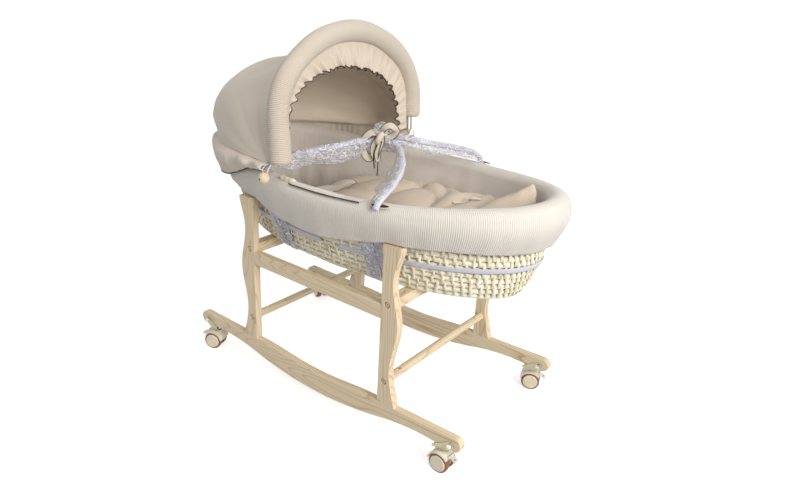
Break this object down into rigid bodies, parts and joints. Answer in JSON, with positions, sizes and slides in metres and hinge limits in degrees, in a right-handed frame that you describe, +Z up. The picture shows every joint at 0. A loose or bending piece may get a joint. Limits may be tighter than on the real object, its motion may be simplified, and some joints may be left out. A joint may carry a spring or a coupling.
{
  "type": "moses basket on rocking stand",
  "caption": "Oval woven baby basket with quilted bedding and fold-back hood, on a wooden rocking stand with fold-away twin-wheel castors.",
  "frame": {"origin": "on the floor under the middle of the whole object", "axes": "+X towards the foot end of the basket, +Y towards the far side, +Z up"},
  "size_m": [0.99, 0.591, 0.9022],
  "materials": {
    "pine": "planed, clear matt lacquer",
    "zinc": "bright zinc",
    "yellow_zinc": "yellow passivated zinc",
    "dark_steel": "dark",
    "ivory_plastic": "satin",
    "hub_plastic": "glossy",
    "tyre_rubber": "matt",
    "maize_husk": "dry husk coils",
    "webbing": "woven tape",
    "cotton_beige": "fine rib",
    "cotton_ivory": "fine rib",
    "ribbon": "bow with brown piping",
    "wood_bead": "turned",
    "elastic": "round elastic"
  },
  "bodies": {
    "stand": {"post_front_foot": "pine", "post_back_foot": "pine", "cross_rail_foot": "pine", "dowel_foot": "pine", "post_front_head": "pine", "post_back_head": "pine", "cross_rail_head": "pine", "dowel_head": "pine", "rocker_front": "pine", "side_rail_front": "pine", "rocker_back": "pine", "side_rail_back": "pine", "post_bolts": "dark_steel", "barrel_nuts": "zinc", "rail_screws": "zinc", "wood_plugs": "pine", "foot_pins": "pine", "castor_pivot_bolts": "zinc"},
    "castor_bracket_front_foot": {"bracket_front_foot": "yellow_zinc", "stem_front_foot": "zinc"},
    "castor_front_foot": {"housing_front_foot": "ivory_plastic"},
    "wheels_front_foot": {"tyres_front_foot": "tyre_rubber", "hubs_front_foot": "hub_plastic", "axle_front_foot": "zinc"},
    "lever_front_foot": {"brake_lever_front_foot": "ivory_plastic"},
    "castor_bracket_back_foot": {"bracket_back_foot": "yellow_zinc", "stem_back_foot": "zinc"},
    "castor_back_foot": {"housing_back_foot": "ivory_plastic"},
    "wheels_back_foot": {"tyres_back_foot": "tyre_rubber", "hubs_back_foot": "hub_plastic", "axle_back_foot": "zinc"},
    "lever_back_foot": {"brake_lever_back_foot": "ivory_plastic"},
    "castor_bracket_front_head": {"bracket_front_head": "yellow_zinc", "stem_front_head": "zinc"},
    "castor_front_head": {"housing_front_head": "ivory_plastic"},
    "wheels_front_head": {"tyres_front_head": "tyre_rubber", "hubs_front_head": "hub_plastic", "axle_front_head": "zinc"},
    "lever_front_head": {"brake_lever_front_head": "ivory_plastic"},
    "castor_bracket_back_head": {"bracket_back_head": "yellow_zinc", "stem_back_head": "zinc"},
    "castor_back_head": {"housing_back_head": "ivory_plastic"},
    "wheels_back_head": {"tyres_back_head": "tyre_rubber", "hubs_back_head": "hub_plastic", "axle_back_head": "zinc"},
    "lever_back_head": {"brake_lever_back_head": "ivory_plastic"},
    "basket": {"basket_weave": "maize_husk", "liner": "cotton_ivory", "mattress": "cotton_ivory", "coverlet": "cotton_beige", "webbing_straps": "webbing", "toggle_beads": "wood_bead", "elastic_cords": "elastic", "hood_canopy": "cotton_beige"},
    "hood": {"hood_hoop": "zinc", "hood_roll": "cotton_beige", "hood_frill": "cotton_beige"},
    "handle_front": {"handle_front": "webbing", "handle_tie": "ribbon"},
    "handle_back": {"handle_back": "webbing"}
  },
  "joints": [
    {"name": "fold_front_foot", "type": "hinge", "parent": "stand", "child": "castor_bracket_front_foot", "pos_m": [0.41, -0.2105, 0.0775], "axis": [0, -1, 0], "range_deg": [0, 180]},
    {"name": "swivel_front_foot", "type": "hinge", "parent": "castor_bracket_front_foot", "child": "castor_front_foot", "pos_m": [0.378, -0.2105, 0.04], "axis": [0, 0, 1], "continuous": true},
    {"name": "roll_front_foot", "type": "hinge", "parent": "castor_front_foot", "child": "wheels_front_foot", "pos_m": [0.389, -0.2105, 0.024], "axis": [0, 1, 0], "continuous": true},
    {"name": "brake_front_foot", "type": "hinge", "parent": "castor_front_foot", "child": "lever_front_foot", "pos_m": [0.41, -0.2105, 0.044], "axis": [0, 1, 0], "range_deg": [0, 8]},
    {"name": "fold_back_foot", "type": "hinge", "parent": "stand", "child": "castor_bracket_back_foot", "pos_m": [0.41, 0.2105, 0.0775], "axis": [0, -1, 0], "range_deg": [0, 180]},
    {"name": "swivel_back_foot", "type": "hinge", "parent": "castor_bracket_back_foot", "child": "castor_back_foot", "pos_m": [0.378, 0.2105, 0.04], "axis": [0, 0, 1], "continuous": true},
    {"name": "roll_back_foot", "type": "hinge", "parent": "castor_back_foot", "child": "wheels_back_foot", "pos_m": [0.38834, 0.21426, 0.024], "axis": [-0.342, 0.9397, 0], "continuous": true},
    {"name": "brake_back_foot", "type": "hinge", "parent": "castor_back_foot", "child": "lever_back_foot", "pos_m": [0.40807, 0.22145, 0.044], "axis": [-0.342, 0.9397, 0], "range_deg": [0, 8]},
    {"name": "fold_front_head", "type": "hinge", "parent": "stand", "child": "castor_bracket_front_head", "pos_m": [-0.41, -0.2105, 0.0775], "axis": [0, 1, 0], "range_deg": [0, 180]},
    {"name": "swivel_front_head", "type": "hinge", "parent": "castor_bracket_front_head", "child": "castor_front_head", "pos_m": [-0.378, -0.2105, 0.04], "axis": [0, 0, 1], "continuous": true},
    {"name": "roll_front_head", "type": "hinge", "parent": "castor_front_head", "child": "wheels_front_head", "pos_m": [-0.3882, -0.21462, 0.024], "axis": [0.3746, -0.9272, 0], "continuous": true},
    {"name": "brake_front_head", "type": "hinge", "parent": "castor_front_head", "child": "lever_front_head", "pos_m": [-0.40767, -0.22249, 0.044], "axis": [0.3746, -0.9272, 0], "range_deg": [0, 8]},
    {"name": "fold_back_head", "type": "hinge", "parent": "stand", "child": "castor_bracket_back_head", "pos_m": [-0.41, 0.2105, 0.0775], "axis": [0, 1, 0], "range_deg": [0, 180]},
    {"name": "swivel_back_head", "type": "hinge", "parent": "castor_bracket_back_head", "child": "castor_back_head", "pos_m": [-0.378, 0.2105, 0.04], "axis": [0, 0, 1], "continuous": true},
    {"name": "roll_back_head", "type": "hinge", "parent": "castor_back_head", "child": "wheels_back_head", "pos_m": [-0.38805, 0.21497, 0.024], "axis": [-0.4067, -0.9135, 0], "continuous": true},
    {"name": "brake_back_head", "type": "hinge", "parent": "castor_back_head", "child": "lever_back_head", "pos_m": [-0.40723, 0.22352, 0.044], "axis": [-0.4067, -0.9135, 0], "range_deg": [0, 8]},
    {"name": "basket_lift", "type": "slide", "parent": "stand", "child": "basket", "axis": [0, 0, 1], "range_m": [0, 0.3]},
    {"name": "hood_fold", "type": "hinge", "parent": "basket", "child": "hood", "pos_m": [-0.077, 0, 0.612], "axis": [0, -1, 0], "range_deg": [0, 75], "deforming": ["hood_canopy"]},
    {"name": "handle_front_lift", "type": "hinge", "parent": "basket", "child": "handle_front", "pos_m": [0.02, -0.24, 0.582], "axis": [1, 0, 0], "range_deg": [0, 20]},
    {"name": "handle_back_lift", "type": "hinge", "parent": "basket", "child": "handle_back", "pos_m": [0.02, 0.24, 0.582], "axis": [-1, 0, 0], "range_deg": [0, 20]}
  ]
}
